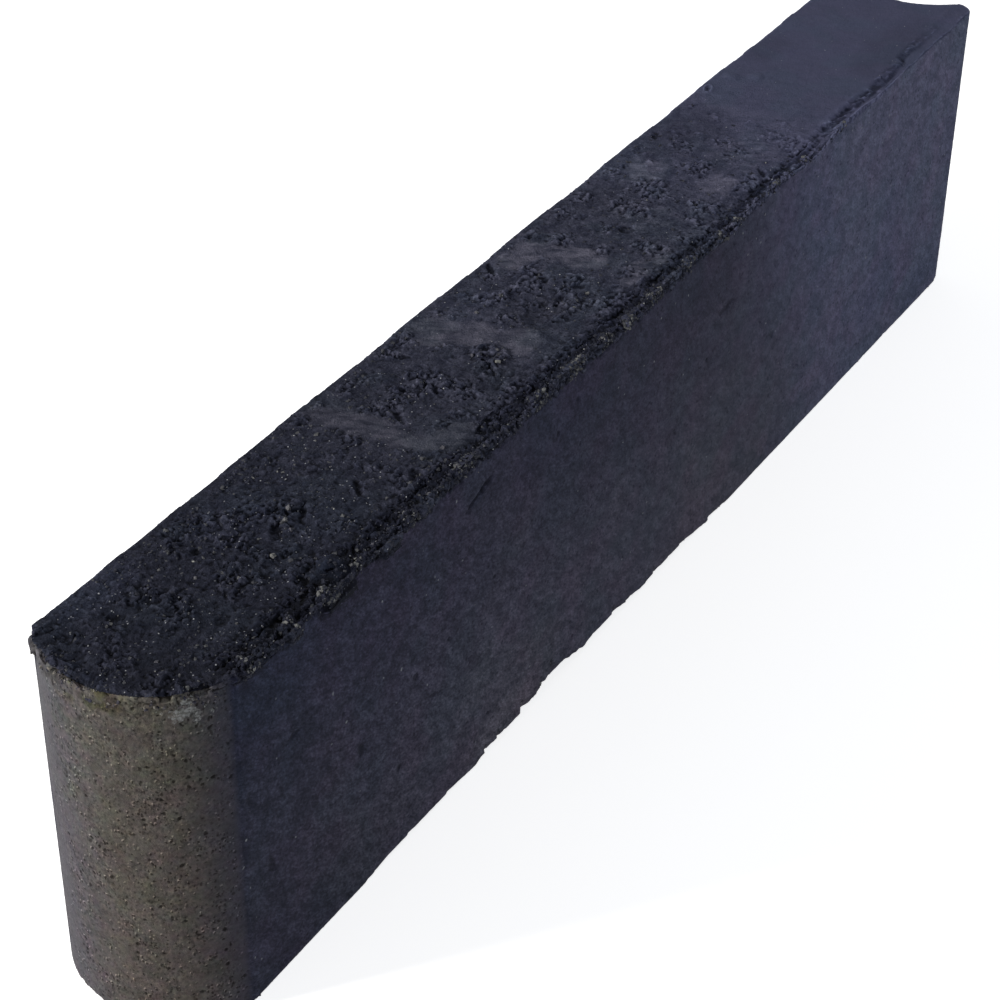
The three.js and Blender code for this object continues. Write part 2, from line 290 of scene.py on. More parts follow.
class Nodes:
    """Adds nodes to a tree."""

    def __init__(self, tree):
        self.tree = tree

    def make(self, kind, settings=None, values=None):
        node = self.tree.nodes.new(kind)
        for name, setting in (settings or {}).items():
            setattr(node, name, setting)
        for name, value in (values or {}).items():
            if isinstance(value, Value):
                self.tree.links.new(value.socket, node.inputs[name])
            else:
                node.inputs[name].default_value = value
        return node

    def add(self, kind, settings=None, values=None, output=0):
        return Value(self, self.make(kind, settings, values).outputs[output])

    def out(self, node, name):
        """The node's output of this name."""
        return Value(self, node.outputs[name])

    def vector(self, operation, *values):
        return self.add("ShaderNodeVectorMath", {"operation": operation}, dict(enumerate(values)))

    def scaled(self, vector, factor):
        return self.add("ShaderNodeVectorMath", {"operation": "SCALE"}, {0: vector, 3: factor})

    def dot(self, first, second):
        return self.add("ShaderNodeVectorMath", {"operation": "DOT_PRODUCT"},
                        {0: first, 1: second}, output=1)

    def parts(self, vector):
        node = self.make("ShaderNodeSeparateXYZ", values={0: vector})
        return [Value(self, socket) for socket in node.outputs]

    def joined(self, x, y, z):
        return self.add("ShaderNodeCombineXYZ", values={0: x, 1: y, 2: z})

    def noise(self, place, size, detail=2.0, roughness=0.5, colour=False):
        """Cloudy noise from 0 to 1 with features of this size."""
        return self.add("ShaderNodeTexNoise", {"noise_dimensions": "3D"},
                        {"Vector": place, "Scale": 1 / size, "Detail": detail, "Roughness": roughness},
                        output=1 if colour else 0)

    def voronoi(self, place, size, feature="F1"):
        return self.make("ShaderNodeTexVoronoi", {"feature": feature},
                         {"Vector": place, "Scale": 1 / size, "Randomness": 1.0})

    def cells(self, place, size):
        """Distance to the nearest of scattered points, in cells, and three random numbers of it."""
        node = self.voronoi(place, size)
        return self.out(node, "Distance"), *self.parts(self.out(node, "Color"))

    def shifted(self, place, x, y, z):
        return self.vector("ADD", place, (x, y, z))

    def warped(self, place, size, amount, detail=2.0):
        """The place moved about by noise, which makes round cells ragged."""
        cloud = self.vector("SUBTRACT", self.noise(place, size, detail, colour=True), (0.5, 0.5, 0.5))
        return self.vector("ADD", place, self.scaled(cloud, 2 * amount))

    def domes(self, place, size, share, width=0.6):
        """Rounded grains of random height, 0 to 1, on a share of the cells."""
        distance, height, present, _ = self.cells(place, size)
        dome = distance.ramp(width, width * 0.15)
        return dome * present.ramp(share, share - 0.02) * (height * 0.7 + 0.3)

    def chips(self, place, size, share):
        """Angular grains with tilted tops and steep sides, about 0 to 1, on a share of the cells."""
        node = self.voronoi(place, size)
        colour = self.out(node, "Color")
        height, present, _ = self.parts(colour)
        offset = self.vector("SUBTRACT", place, self.out(node, "Position"))
        tilt = self.vector("SUBTRACT", colour, (0.5, 0.5, 0.5))
        top = height * 0.6 + 0.4 + self.dot(offset, tilt) * (2 / size)
        inside = self.out(node, "Distance").ramp(0.66, 0.40)
        return inside * present.ramp(share, share - 0.02) * top.most(0)

    def clods(self, place, size, gap=0.20):
        """Lumps of random height, 0 to 1, with cracks between them."""
        node = self.voronoi(place, size, "DISTANCE_TO_EDGE")
        height = self.cells(place, size)[1]
        return self.out(node, "Distance").ramp(0.0, gap) * (height * 0.6 + 0.4)

    def blend(self, factor, first, second, mode="MIX"):
        return self.add("ShaderNodeMix", {"data_type": "RGBA", "blend_type": mode},
                        {0: factor, 6: first, 7: second}, output=2)

    def stored(self, name):
        """A field that keep() stored on the surface, in Geometry Nodes."""
        return self.add("GeometryNodeInputNamedAttribute", {"data_type": "FLOAT"}, {"Name": name})


def cleared(owner):
    """The emptied node tree of this material or world."""
    owner.use_nodes = True
    owner.node_tree.nodes.clear()
    return Nodes(owner.node_tree)


def crease(side):
    """Where the tongue's arc leaves the face on this side, along the kerb."""
    sizes = settings("sizes")
    reach = sizes.tongue_radius ** 2 - (side - sizes.knuckle_offset) ** 2
    return LOW.x + sizes.tongue_radius - math.sqrt(reach)


class Kerb:
    """The casting's own zones as fields, in millimetres: the relief and the finish both read them."""

    def __init__(self, nodes, place):
        sizes = settings("sizes")
        self.nodes = nodes
        self.place = place
        self.x, self.y, self.z = nodes.parts(place)
        self.axis_x = (LOW.x + sizes.tongue_radius) * MM
        self.axis_y = sizes.knuckle_offset * MM
        self.radius = sizes.tongue_radius * MM
        self.front = FRONT * MM
        self.back = BACK * MM
        self.height = sizes.height * MM
        self.crease_front = crease(FRONT) * MM
        self.crease_back = crease(BACK) * MM
        self.far_end = HIGH.x * MM

    def tongue(self, start=0.6, end=-0.6, short=0.0):
        """1 on the round end, 0 past its creases or this far short of them."""
        slope = (self.crease_back - self.crease_front) / (self.back - self.front)
        edge = self.crease_front + (self.y - self.front) * slope
        return (self.x + short - edge).ramp(start, end)

    def radial(self):
        """Distance from the tongue's axis."""
        return ((self.x - self.axis_x) ** 2 + (self.y - self.axis_y) ** 2).sqrt()

    def past_crease(self):
        """0 before the tongue's front crease, 1 past it."""
        return self.x.ramp(self.crease_front - 4, self.crease_front + 4)

    def along_lip(self):
        """1 along the squeezed lip, fading to 0 at its ends."""
        end = self.crease_front + settings("sizes").lip_length * MM
        return self.past_crease() * self.x.ramp(end + 5, end - 45)

    def drawn(self):
        """The place, squeezed along the front face's diagonal, so that patterns run the other way."""
        skew = self.y.ramp(20, -20) * 0.29
        return self.nodes.joined(self.x * 0.95 + self.z * skew, self.y, self.z * 1.10 + self.x * skew)

    def lip_band(self):
        """Width of the crumbled band along the front arris: wide at the tongue and narrow far off."""
        return self.x.ramp(-100, 250) * -6.0 + 10.0

    def below_top(self, over=0.0):
        """Depth below the top, or below a level this far over it, and 0 above that."""
        return (self.height + over - self.z).most(0)

    def below(self):
        """Depth below the top, counted double and more where the lip is thin, far from the tongue."""
        return (self.height - self.z) * (self.x.ramp(-60, 200) * 1.5 + 1)

    def lump(self, wider=0.0):
        """1 on the round lump that stands on the lip by the tongue, or this much past it."""
        x, inset, along, across = ROUND_LUMP
        torn = self.nodes.noise(self.nodes.joined(self.x, self.y, 14.0), 7.0, 2.0, 0.6) * 6 - 3
        return spot(self.x + torn - x, self.inset() + torn - inset, along + wider, across + wider, 0)

    def lobes(self):
        """1 on the lobes that hang from the lip over the front face, with the sides of torn mortar."""
        torn = self.nodes.noise(self.nodes.joined(self.x, self.z, 4.0), 5.0, 3.0, 0.6) - 0.5
        found = 0.0
        for x, span, drop in LOBES:
            low = self.height - drop + torn * 4
            beside = abs(self.x - x + torn * 5).ramp(span * 0.5, span * 0.40)
            found = (beside * (self.z - low).ramp(-0.4, 0.6)).most(found)
        return found * self.inset().ramp(10, 4)

    def trench(self):
        """1 in the trench behind the lip, which runs inwards and dies out past the last wave."""
        inset = self.inset() - self.x.ramp(390, 412) * 4.0
        across = inset.ramp(4, 7) * inset.ramp(16, 11)
        return across * self.past_crease() * (self.x.ramp(500, 400) * 0.8 + 0.2)

    def inset(self):
        """Distance from the front face, inwards."""
        return self.y - self.front

    def clusters(self):
        """1 where pale crumbs stand on the lip, 0 where it is bare."""
        cloud = self.nodes.noise(self.nodes.joined(self.x, self.y * 0.5, 9.0), 6.0, 3.0, 0.6) - 0.5
        where = self.x + cloud * 16
        found = 0.0
        for x, span in LIP_CLUSTERS:
            found = abs(where - x).ramp(span * 0.50, span * 0.22).most(found)
        return found


def smoothness(kerb):
    """1 where the top was trowelled smooth, 0 where it is coarse."""
    nodes = kerb.nodes
    x, y, _ = nodes.parts(nodes.warped(nodes.joined(kerb.x, kerb.y, 0.0), 20, 13.0, 4.0))
    smooth = x.ramp(190, 320)
    for place_x, place_y, along, across, turn, share in TROWELLED:
        smooth = smooth.most(spot(x - place_x, y - place_y, along, across, turn) * share)
    worn = nodes.noise(nodes.shifted(kerb.place, 41, 7, 0), 8, 3.0, 0.6) - 0.5
    return (smooth + worn).ramp(0.05, 0.95)


def brushed(kerb):
    """Streaks that the trowel left on the top, 0 to 1."""
    run_x, run_y = STREAKS
    along = kerb.x * run_x + kerb.y * run_y
    across = kerb.x * -run_y + kerb.y * run_x
    return kerb.nodes.noise(kerb.nodes.joined(along * 0.28, across, 61.0), 5.0, 3.0, 0.65)


def spot(across, up, span, height, turn):
    """1 in the middle of an oval, 0 outside it."""
    c, s = math.cos(math.radians(turn)), math.sin(math.radians(turn))
    u = across * (c * 2 / span) + up * (s * 2 / span)
    v = up * (c * 2 / height) - across * (s * 2 / height)
    return (u * u + v * v).ramp(1.2, 0.1)


def struck_relief(kerb, smooth):
    """Height of the top's torn crumbs and pits over the plain top."""
    nodes = kerb.nodes
    surface = settings("surface")
    crumb = surface.crumb_height * MM
    pit = surface.pit_depth * MM
    size = surface.crumb_size * MM
    flat = nodes.joined(kerb.x, kerb.y, 0.0)
    ragged = nodes.warped(flat, 8.0, 4.0, 3.0)
    torn = nodes.warped(flat, 2.6, 1.8)
    coarse = 1 - smooth * 0.85
    near = kerb.x.ramp(-190, -340)
    calm = 1 - kerb.x.ramp(20, 320) * 0.6
    behind_lip = (kerb.inset() + kerb.x.ramp(-100, 200) * 8).ramp(24, 12) * kerb.along_lip()
    cluster = nodes.noise(nodes.shifted(flat, 0, 0, 31), 24, 3.0).ramp(0.46, 0.62)
    cluster = cluster.most(near * 0.2).most(behind_lip)
    rough = coarse * calm * (cluster * 0.85 + 0.15) * (1 - kerb.y.ramp(50, 58) * 0.75)
    plates = nodes.noise(nodes.shifted(torn, 0, 0, 55), size * 1.5, 3.0, 0.65).ramp(0.44, 0.56) * crumb
    crumbs = nodes.chips(nodes.shifted(torn, 3, 9, 0), size * 0.75, 0.35) * (crumb * 0.6)
    small = nodes.chips(nodes.shifted(torn, 17, 5, 0), size * 0.45, 0.50) * (crumb * 0.45)
    swollen = nodes.noise(nodes.shifted(flat, 0, 0, 77), 12.0, 3.0, 0.6) - 0.5
    grain = nodes.noise(nodes.shifted(flat, 0, 0, 13), 3.0, 4.0, 0.75) - 0.5
    holes = nodes.domes(nodes.shifted(ragged, 61, 2, 0), 10.0, 0.24, 0.42) * pit
    small_holes = nodes.domes(nodes.shifted(torn, 5, 71, 0), 4.5, 0.34, 0.45) * (pit * 0.6)
    relief = swollen * (coarse * 2.2 + 0.7) + (plates + crumbs + small - holes - small_holes) * rough
    x, y, along, across, turn, height = BEDDED_STONE
    stone = spot(kerb.x - x, kerb.y - y, along, across, turn) * height
    relief = relief + grain * (coarse * calm * 1.9 + 0.15) - 0.6 + stone
    filled = nodes.noise(nodes.shifted(flat, 0, 0, 300), 15, 3.0, 0.6)
    relief = relief + kerb.trench() * (filled.ramp(0.46, 0.60) * 1.7 - filled.ramp(0.44, 0.36) * 0.8)
    bare = 1 - kerb.clusters() * 0.75
    return relief - kerb.inset().ramp(7.5, 4.5) * kerb.along_lip() * bare * 1.7


def mould_relief(kerb):
    """Depth of the shallow marks on the mould faces and the bed, below 0 where they go in."""
    nodes = kerb.nodes
    drawn = kerb.drawn()
    wide = (nodes.noise(kerb.place, 55, 2.0) - 0.5) * 0.5
    fine = (nodes.noise(nodes.shifted(drawn, 9, 9, 9), 5.0, 3.0, 0.65) - 0.5) * 0.7
    ragged = nodes.warped(drawn, 6, 3.0)
    pits = nodes.domes(ragged, 13.0, 0.35, 0.22) * 1.3
    small_pits = nodes.domes(nodes.shifted(ragged, 40, 8, 3), 7.0, 0.40, 0.30) * 0.9
    relief = wide + fine - 0.1 - pits - small_pits
    outside = kerb.y.ramp(kerb.front + 8, kerb.front + 4)
    across, _, up = nodes.parts(nodes.warped(kerb.place, 7, 3.0))
    for x, z, span, height, turn, depth in FACE_MARKS:
        relief = relief - spot(across - x, up - z, span, height, turn) * outside * depth
    return relief


def tongue_relief(kerb):
    """Sand grains and pits on the tongue, worn deeper towards its rim."""
    nodes = kerb.nodes
    ragged = nodes.warped(kerb.place, 3, 1.6)
    torn = nodes.warped(kerb.place, 5, 3.0, 3.0)
    wide = (nodes.noise(nodes.shifted(kerb.place, 3, 60, 3), 40, 2.0) - 0.5) * 0.5
    fine = (nodes.noise(nodes.shifted(kerb.place, 3, 3, 3), 2.8, 3.0, 0.7) - 0.5) * 0.6
    dusty = kerb.y.ramp(48, 24) * 0.70 + 0.30
    cluster = nodes.noise(nodes.shifted(kerb.place, 0, 50, 0), 20, 2.0).ramp(0.42, 0.6)
    pits = nodes.domes(ragged, 5.0, 0.40, 0.42) * (cluster * 1.2 + 0.15)
    small_pits = nodes.domes(nodes.shifted(ragged, 9, 30, 4), 2.8, 0.40, 0.45) * (cluster * 0.75 + 0.08)
    grains = nodes.domes(nodes.shifted(ragged, 21, 2, 40), 2.4, 0.35, 0.45) * (cluster * 0.4 + 0.1)
    rim = kerb.z.ramp(kerb.height - 16, kerb.height - 5) * nodes.noise(torn, 14, 2.0).ramp(0.38, 0.58)
    broken = (nodes.clods(nodes.shifted(torn, 7, 7, 7), 6.0) - 0.80) * rim * 0.9
    return (wide + fine + grains - pits - small_pits) * dusty + broken - 0.1


def nibble(first, second, amount):
    """How far an arris is worn: both faces' insets run to 0 at it."""
    return ((amount - first - second) / 2).most(0)


def bed_bites(kerb):
    """Height of the bites along the bed's front arris."""
    nodes = kerb.nodes
    jitter = nodes.noise(nodes.joined(kerb.x, 0.0, 5.0), 5.0, 3.0, 0.7) - 0.5
    where = kerb.x + jitter * 5.0
    bite = jitter * 1.6 + 0.7
    for x, span, height in BED_CHIPS:
        sloped = (x - where) * (height * 0.9 / span) + height * 0.9 + jitter * 2.0
        bite = bite.most(abs(where - x).ramp(span * 0.54, span * 0.50) * sloped)
    return bite.most(0.3)


def entry(tree):
    """A Geometry Nodes tree with its input and output, as nodes to build on."""
    tree.interface.new_socket("Geometry", in_out="INPUT", socket_type="NodeSocketGeometry")
    tree.interface.new_socket("Geometry", in_out="OUTPUT", socket_type="NodeSocketGeometry")
    return Nodes(tree)


def edge_wear(kerb, tongue, lobes, ragged):
    """How far the worn and broken edges draw back in x, y and z, and how broken the surface is."""
    nodes = kerb.nodes
    wear = nodes.noise(nodes.shifted(kerb.place, 0, 0, 200), 13, 3.0, 0.6)
    worn = nodes.noise(nodes.shifted(kerb.place, 0, 0, 250), 6, 3.0, 0.65)
    chunk = nodes.cells(ragged, 11.0)[1]
    bite = bed_bites(kerb)
    depth = bite * 0.5 + 0.5
    broken = (1 - kerb.inset() / depth - kerb.z / bite).most(0) * kerb.x.ramp(-480, -470)

    from_back = kerb.back - kerb.y
    bed_back = nibble(kerb.z, from_back, wear.ramp(0.45, 0.75) * 3 + 0.5)
    top_back = nibble(kerb.below_top(1.0), from_back, wear.ramp(0.58, 0.8) * 2 + 0.5)
    lip_loss = ((chunk ** 1.5 * 10 + worn * 7 - 3) * (1 - kerb.clusters() * 0.6)
                * (1 - kerb.x.ramp(0, 250) * 0.45) * (1 - lobes))
    lip_arris = nibble(kerb.below_top(2.2), (kerb.inset() + 3.4).most(0), lip_loss)
    lip_arris = lip_arris * kerb.along_lip() * (1 - tongue)

    radial = kerb.radial()
    inside = kerb.radius - radial
    rim = nibble(kerb.below_top(), inside, chunk ** 2 * 5 + worn * 3) * tongue
    foot = nibble(kerb.z, inside, wear.ramp(0.4, 0.75) * 2.5 + 0.6) * tongue
    _, ragged_y, ragged_z = nodes.parts(nodes.warped(kerb.place, 4, 4.0, 3.0))
    y, below, width, height, out = RIM_CRUMB
    crumb = spot(ragged_y - y, ragged_z - (kerb.height - below), width, height, 0)
    crumb = crumb * kerb.x.ramp(-490, -498) * out
    to_axis_x = (kerb.axis_x - kerb.x) / radial.most(1)
    to_axis_y = (kerb.axis_y - kerb.y) / radial.most(1)

    end = kerb.far_end - kerb.x
    far_wear = wear.ramp(0.45, 0.75) * 2 + 0.4
    far_foot = nibble(kerb.z, end, far_wear)
    far_rim = nibble(kerb.below_top(), end, far_wear)
    far_arris = nibble(kerb.below_top(1), kerb.inset().most(0),
                       kerb.x.ramp(330, 430) * (wear * 5 + 0.5))

    shift_x = (rim + foot - crumb) * to_axis_x - far_foot - far_rim
    shift_y = (broken * depth / 2 - bed_back - top_back + (rim + foot - crumb) * to_axis_y
               + lip_arris + far_arris)
    shift_z = (broken * bite / 2 + bed_back - top_back - rim + foot + far_foot - far_rim
               - lip_arris - far_arris)
    return nodes.joined(shift_x, shift_y, shift_z), broken + (rim + foot) * 0.15


def relief_tree():
    """Moves the casting's surface by its relief and keeps how deep and how broken it is."""
    made = bpy.data.node_groups.get("kerb_relief")
    if made:
        return made
    tree = bpy.data.node_groups.new("kerb_relief", "GeometryNodeTree")
    nodes = entry(tree)
    place = nodes.scaled(nodes.add("GeometryNodeInputPosition"), float(MM))
    kerb = Kerb(nodes, place)
    normal = nodes.add("GeometryNodeInputNormal")
    up = nodes.parts(normal)[2].ramp(0.30, 0.75)
    side = 1 - up
    tongue = kerb.tongue()
    lobes = kerb.lobes()
    ragged = nodes.warped(place, 5, 2.5, 3.0)

    edge = nodes.noise(nodes.shifted(place, 0, 90, 0), 9, 3.0, 0.6) * 14
    squeezed = (edge - kerb.below()).ramp(-3, 2).most(lobes)
    lip = side * (1 - tongue) * kerb.along_lip() * squeezed * kerb.inset().ramp(4, 1)
    clods = (nodes.clods(ragged, 6.0) * 2.4 - 1.8) * (1 - kerb.x.ramp(0, 250) * 0.5)
    lip_crumbs = clods * (1 - lobes) + lobes * (kerb.below().ramp(3, 7) * 2.2 + 2.6)
    smooth = smoothness(kerb)
    lump = kerb.lump()
    hump = lump * LUMP_HEIGHT - kerb.lump(HOLLOW_WIDER) * HOLLOW_DEPTH
    top = struck_relief(kerb, smooth) * (1 - lump * 0.7) + hump
    faces = (mould_relief(kerb) * (1 - tongue) * (1 - lip) + tongue_relief(kerb) * tongue
             + lip_crumbs * lip)
    moved = nodes.scaled(normal, (up * top + side * faces) / MM)
    drawn_back, broken = edge_wear(kerb, tongue, lobes, ragged)
    shift = nodes.scaled(drawn_back, 1 / MM)

    geometry = keep(nodes, nodes.add("NodeGroupInput"), "struck", up.most(lip))
    geometry = keep(nodes, geometry, "broken", broken)
    geometry = keep(nodes, geometry, "smooth", smooth)
    geometry = nodes.add("GeometryNodeSetPosition",
                         values={"Geometry": geometry, "Offset": nodes.vector("ADD", moved, shift)})
    # how far the surface stands over its own level, close by and farther off
    for name, rounds in (("relief", 9), ("hollow", 60)):
        level = nodes.add("GeometryNodeBlurAttribute", {"data_type": "FLOAT_VECTOR"},
                          {0: place, 1: rounds})
        over = nodes.dot(nodes.vector("SUBTRACT", place, level), normal)
        geometry = keep(nodes, geometry, name, over)
    nodes.make("NodeGroupOutput", values={0: geometry})
    return tree


def keep(nodes, geometry, name, field):
    """Stores the field on the surface under this name."""
    return nodes.add("GeometryNodeStoreNamedAttribute", {"data_type": "FLOAT", "domain": "POINT"},
                     {"Geometry": geometry, "Name": name, "Value": field})


# Objects --------------------------------------------------------------------------------------

def deselect_all():
    """Leaves no object selected."""
    for other in bpy.context.selected_objects:
        other.select_set(False)


def only(piece):
    """Leaves this object alone selected and active."""
    deselect_all()
    piece.select_set(True)
    bpy.context.view_layer.objects.active = piece


def edit(piece):
    """Opens this piece alone in edit mode, with all of it selected."""
    only(piece)
    bpy.ops.object.mode_set(mode="EDIT")
    bpy.ops.mesh.select_all(action="SELECT")


def apply_modifier(piece, kind, **values):
    """Adds a modifier with these values and applies it."""
    only(piece)
    bpy.ops.object.modifier_add(type=kind)
    modifier = piece.modifiers[-1]
    for name, value in values.items():
        setattr(modifier, name, value)
    bpy.ops.object.modifier_apply(modifier=modifier.name)


def points_of(mesh):
    """The mesh's points, one row each."""
    places = np.empty(len(mesh.vertices) * 3)
    mesh.vertices.foreach_get("co", places)
    return places.reshape(-1, 3)


def keep_inside(piece):
    """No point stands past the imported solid's box."""
    mesh = piece.data
    places = np.clip(points_of(mesh), np.array(LOW), np.array(HIGH))
    mesh.vertices.foreach_set("co", places.ravel())
    mesh.update()


def drop_specks(piece):
    """Deletes what the relief pinched off. The piece itself is the one with the first point in X."""
    first = int(points_of(piece.data)[:, 0].argmin())
    edit(piece)
    bpy.ops.mesh.select_all(action="DESELECT")
    bpy.ops.object.mode_set(mode="OBJECT")
    piece.data.vertices[first].select = True
    bpy.ops.object.mode_set(mode="EDIT")
    bpy.ops.mesh.select_linked()
    bpy.ops.mesh.select_all(action="INVERT")
    bpy.ops.mesh.delete(type="VERT")
    bpy.ops.object.mode_set(mode="OBJECT")


def cut(piece, point, outwards):
    """Cuts the piece by a plane and closes it. What lies outwards of the plane goes."""
    edit(piece)
    bpy.ops.mesh.bisect(plane_co=point, plane_no=outwards, use_fill=True, clear_outer=True)
    bpy.ops.object.mode_set(mode="OBJECT")


def triangle_count(piece):
    """How many triangles the piece has."""
    piece.data.calc_loop_triangles()
    return len(piece.data.loop_triangles)


def cast(name, step, *cuts):
    """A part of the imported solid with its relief, remeshed at this step and cut by these planes."""
    piece = bpy.data.objects.new(name, frame["nodes"][SOLID].data.copy())
    bpy.context.collection.objects.link(piece)
    edit(piece)
    bpy.ops.mesh.remove_doubles(threshold=1e-6)
    bpy.ops.object.mode_set(mode="OBJECT")
    margin = 4 * step  # the first cuts only save work, so they stay this far out
    for point, outwards in cuts:
        cut(piece, point + outwards * margin, outwards)
    apply_modifier(piece, "REMESH", mode="VOXEL", voxel_size=step, use_smooth_shade=True)
    apply_modifier(piece, "NODES", node_group=relief_tree())
    for point, outwards in cuts:
        cut(piece, point, outwards)
    count = triangle_count(piece)
    if not count:
        raise RuntimeError(f"{name} has no surface")
    apply_modifier(piece, "DECIMATE", ratio=min(1, settings("surface").most_triangles / count))
    drop_specks(piece)
    keep_inside(piece)
    only(piece)
    bpy.ops.object.shade_smooth_by_angle(angle=math.radians(40))
    settle(piece, concrete(name))
    return piece


def seams():
    """The planes that part the pieces: under the struck top and over the casting, by a point each,
    and behind the tongue, by a point and its direction towards the casting."""
    surface = settings("surface")
    skin = Vector((0, 0, surface.seam_height))
    lid = Vector((0, 0, surface.seam_height + surface.seam_overlap))
    start = Vector((crease(FRONT), FRONT, 0))
    run = Vector((crease(BACK), BACK, 0)) - start
    back = Vector((run.y, -run.x, 0)).normalized()
    return skin, lid, start, back


def settle(piece, material):
    """The piece takes its finish and rides on the kerb."""
    piece.data.materials.clear()
    piece.data.materials.append(material)
    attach(piece, BODY)


# Finishes -------------------------------------------------------------------------------------

def rgba(colour, factor=1.0):
    """A colour with its alpha, made brighter or darker by the factor."""
    return (*(part * factor for part in colour), 1.0)


class Coat:
    """A colour that is built up in layers."""

    def __init__(self, nodes, colour):
        self.nodes = nodes
        self.colour = colour

    def cover(self, factor, colour, mode="MIX"):
        """Lays another colour over it where the factor is 1."""
        self.colour = self.nodes.blend(factor, self.colour, colour, mode)

    def dye(self, factor, red, green, blue):
        """Multiplies it by these shares where the factor is 1."""
        self.cover(factor, (red, green, blue, 1), "MULTIPLY")


class Finish:
    """The finish shared by the kerb's concrete surfaces, built up in layers over one colour."""

    def __init__(self, name):
        self.material = bpy.data.materials.new(name)
        self.nodes = cleared(self.material)
        self.place = self.nodes.scaled(self.nodes.add("ShaderNodeTexCoord", output=3), float(MM))
        self.kerb = Kerb(self.nodes, self.place)
        self.drawn = self.kerb.drawn()

    def at(self, number, place=None):
        """The place moved far off by this many steps, so that each pattern has its own noise."""
        return self.nodes.shifted(place or self.place, 37.0 * number, 53.0 * number, 71.0 * number)

    def cloud(self, number, size, detail=2.0, roughness=0.5, place=None):
        return self.nodes.noise(self.at(number, place), size, detail, roughness)

    def attribute(self, name):
        return self.nodes.add("ShaderNodeAttribute", {"attribute_name": name}, output=2)

    def specks(self, size, share, number, stretch=(1, 1, 1), width=0.42, shift=(0, 0, 0)):
        """Small ragged spots, 0 to 1, on a share of the cells, moved by this shift."""
        place = self.nodes.shifted(self.at(number), *shift)
        place = self.nodes.vector("MULTIPLY", self.nodes.warped(place, size, size * 0.35, 0.0), stretch)
        distance, _, present, _ = self.nodes.cells(place, size)
        return distance.ramp(width, width * 0.5) * present.ramp(share, share * 0.7)

    def glints(self):
        """Rare pale grains of sand with a painted glint on them, of varied brightness and in clusters,
        fewer along the kerb.
        """
        distance, bright, present, _ = self.nodes.cells(self.at(15), 1.3)
        cluster = self.cloud(17, 16.0, 3.0, 0.6).ramp(0.44, 0.60) * 1.6 + 0.3
        share = (self.kerb.x.ramp(0, -300) * 0.040 + 0.008) * cluster
        return distance.ramp(0.42, 0.30) * (present - share).ramp(0.002, 0.0) * bright ** 2

    def finish(self, colour, roughness, grain, strength, depth, specular=0.08):
        """Ends the material. Its finest grain is a height, which the bump's strength and depth scale."""
        bump = self.nodes.add("ShaderNodeBump",
                              values={"Strength": strength, "Distance": depth, "Height": grain})
        shader = self.nodes.add("ShaderNodeBsdfPrincipled", values={
            "Base Color": colour, "Roughness": roughness, "Specular IOR Level": specular,
            "Normal": bump})
        self.nodes.make("ShaderNodeOutputMaterial", values={0: shader})
        return self.material


def mould_shade(finish, colours):
    """The plain colour of the mould faces, dark at the top by the tongue, paler low and far off."""
    kerb, blend = finish.kerb, finish.nodes.blend
    high = blend(kerb.x.ramp(-490, -300), rgba(colours.mould_near), rgba(colours.mould_middle))
    high = blend(kerb.x.ramp(60, 290), high, rgba(colours.mould_far))
    low = blend(kerb.x.ramp(-470, -210), rgba(colours.bed_near), rgba(colours.bed_far))
    low = blend(kerb.x.ramp(150, 330), low, rgba(colours.mould_far))
    return blend(kerb.z.ramp(250, 30), high, low)


def mould_colour(finish, shade, relief):
    """Dense dark mould faces: cloudy, faintly violet and teal, with dark specks, painted shade in its
    pits, painted highlights on its raised grain and rare pale specks.
    """
    kerb, cloud, drawn = finish.kerb, finish.cloud, finish.drawn
    strong = kerb.x.ramp(250, -420) * 0.65 + 0.45
    coat = Coat(finish.nodes, shade)
    coat.dye(cloud(1, 60.0).ramp(0.44, 0.60), 0.92, 1.00, 0.97)
    coat.dye(cloud(2, 40.0).ramp(0.46, 0.62), 1.07, 0.99, 1.01)
    coat.dye(cloud(3, 20.0, place=drawn).ramp(0.62, 0.38), 0.82, 0.83, 0.85)
    patches = cloud(4, 6.5, 3.0, 0.65, drawn)
    coat.dye(patches.ramp(0.51, 0.62) * (strong * 0.6 + 0.28), 1.42, 1.41, 1.39)
    coat.dye(patches.ramp(0.49, 0.38) * (strong * 0.6 + 0.28), 0.62, 0.63, 0.66)
    coat.dye(cloud(22, 130.0).ramp(0.60, 0.42), 0.90, 0.91, 0.96)
    grain = cloud(5, 2.2, 2.0, 0.7, drawn)
    coat.dye(grain.ramp(0.50, 0.37) * strong, 0.62, 0.63, 0.66)
    coat.dye(grain.ramp(0.54, 0.67) * strong, 1.50, 1.49, 1.46)
    # painted shade in the pits and a painted highlight on the raised grain, read off the relief
    coat.dye(relief.ramp(-0.06, -0.45) * (strong * 0.6 + 0.4), 0.42, 0.43, 0.46)
    coat.dye(relief.ramp(0.10, 0.5) * strong, 1.20, 1.20, 1.18)
    coat.dye(finish.specks(6.0, 0.30, 6, (1.2, 1, 1.2), 0.30), 0.55, 0.56, 0.59)
    x, z, span, height = PALE_PATCH
    coat.dye(spot(kerb.x - x, kerb.z - z, span, height, 0), 1.22, 1.20, 1.14)
    coat.cover(finish.specks(3.0, 0.010, 7), (0.16, 0.17, 0.19, 1))
    return coat.colour


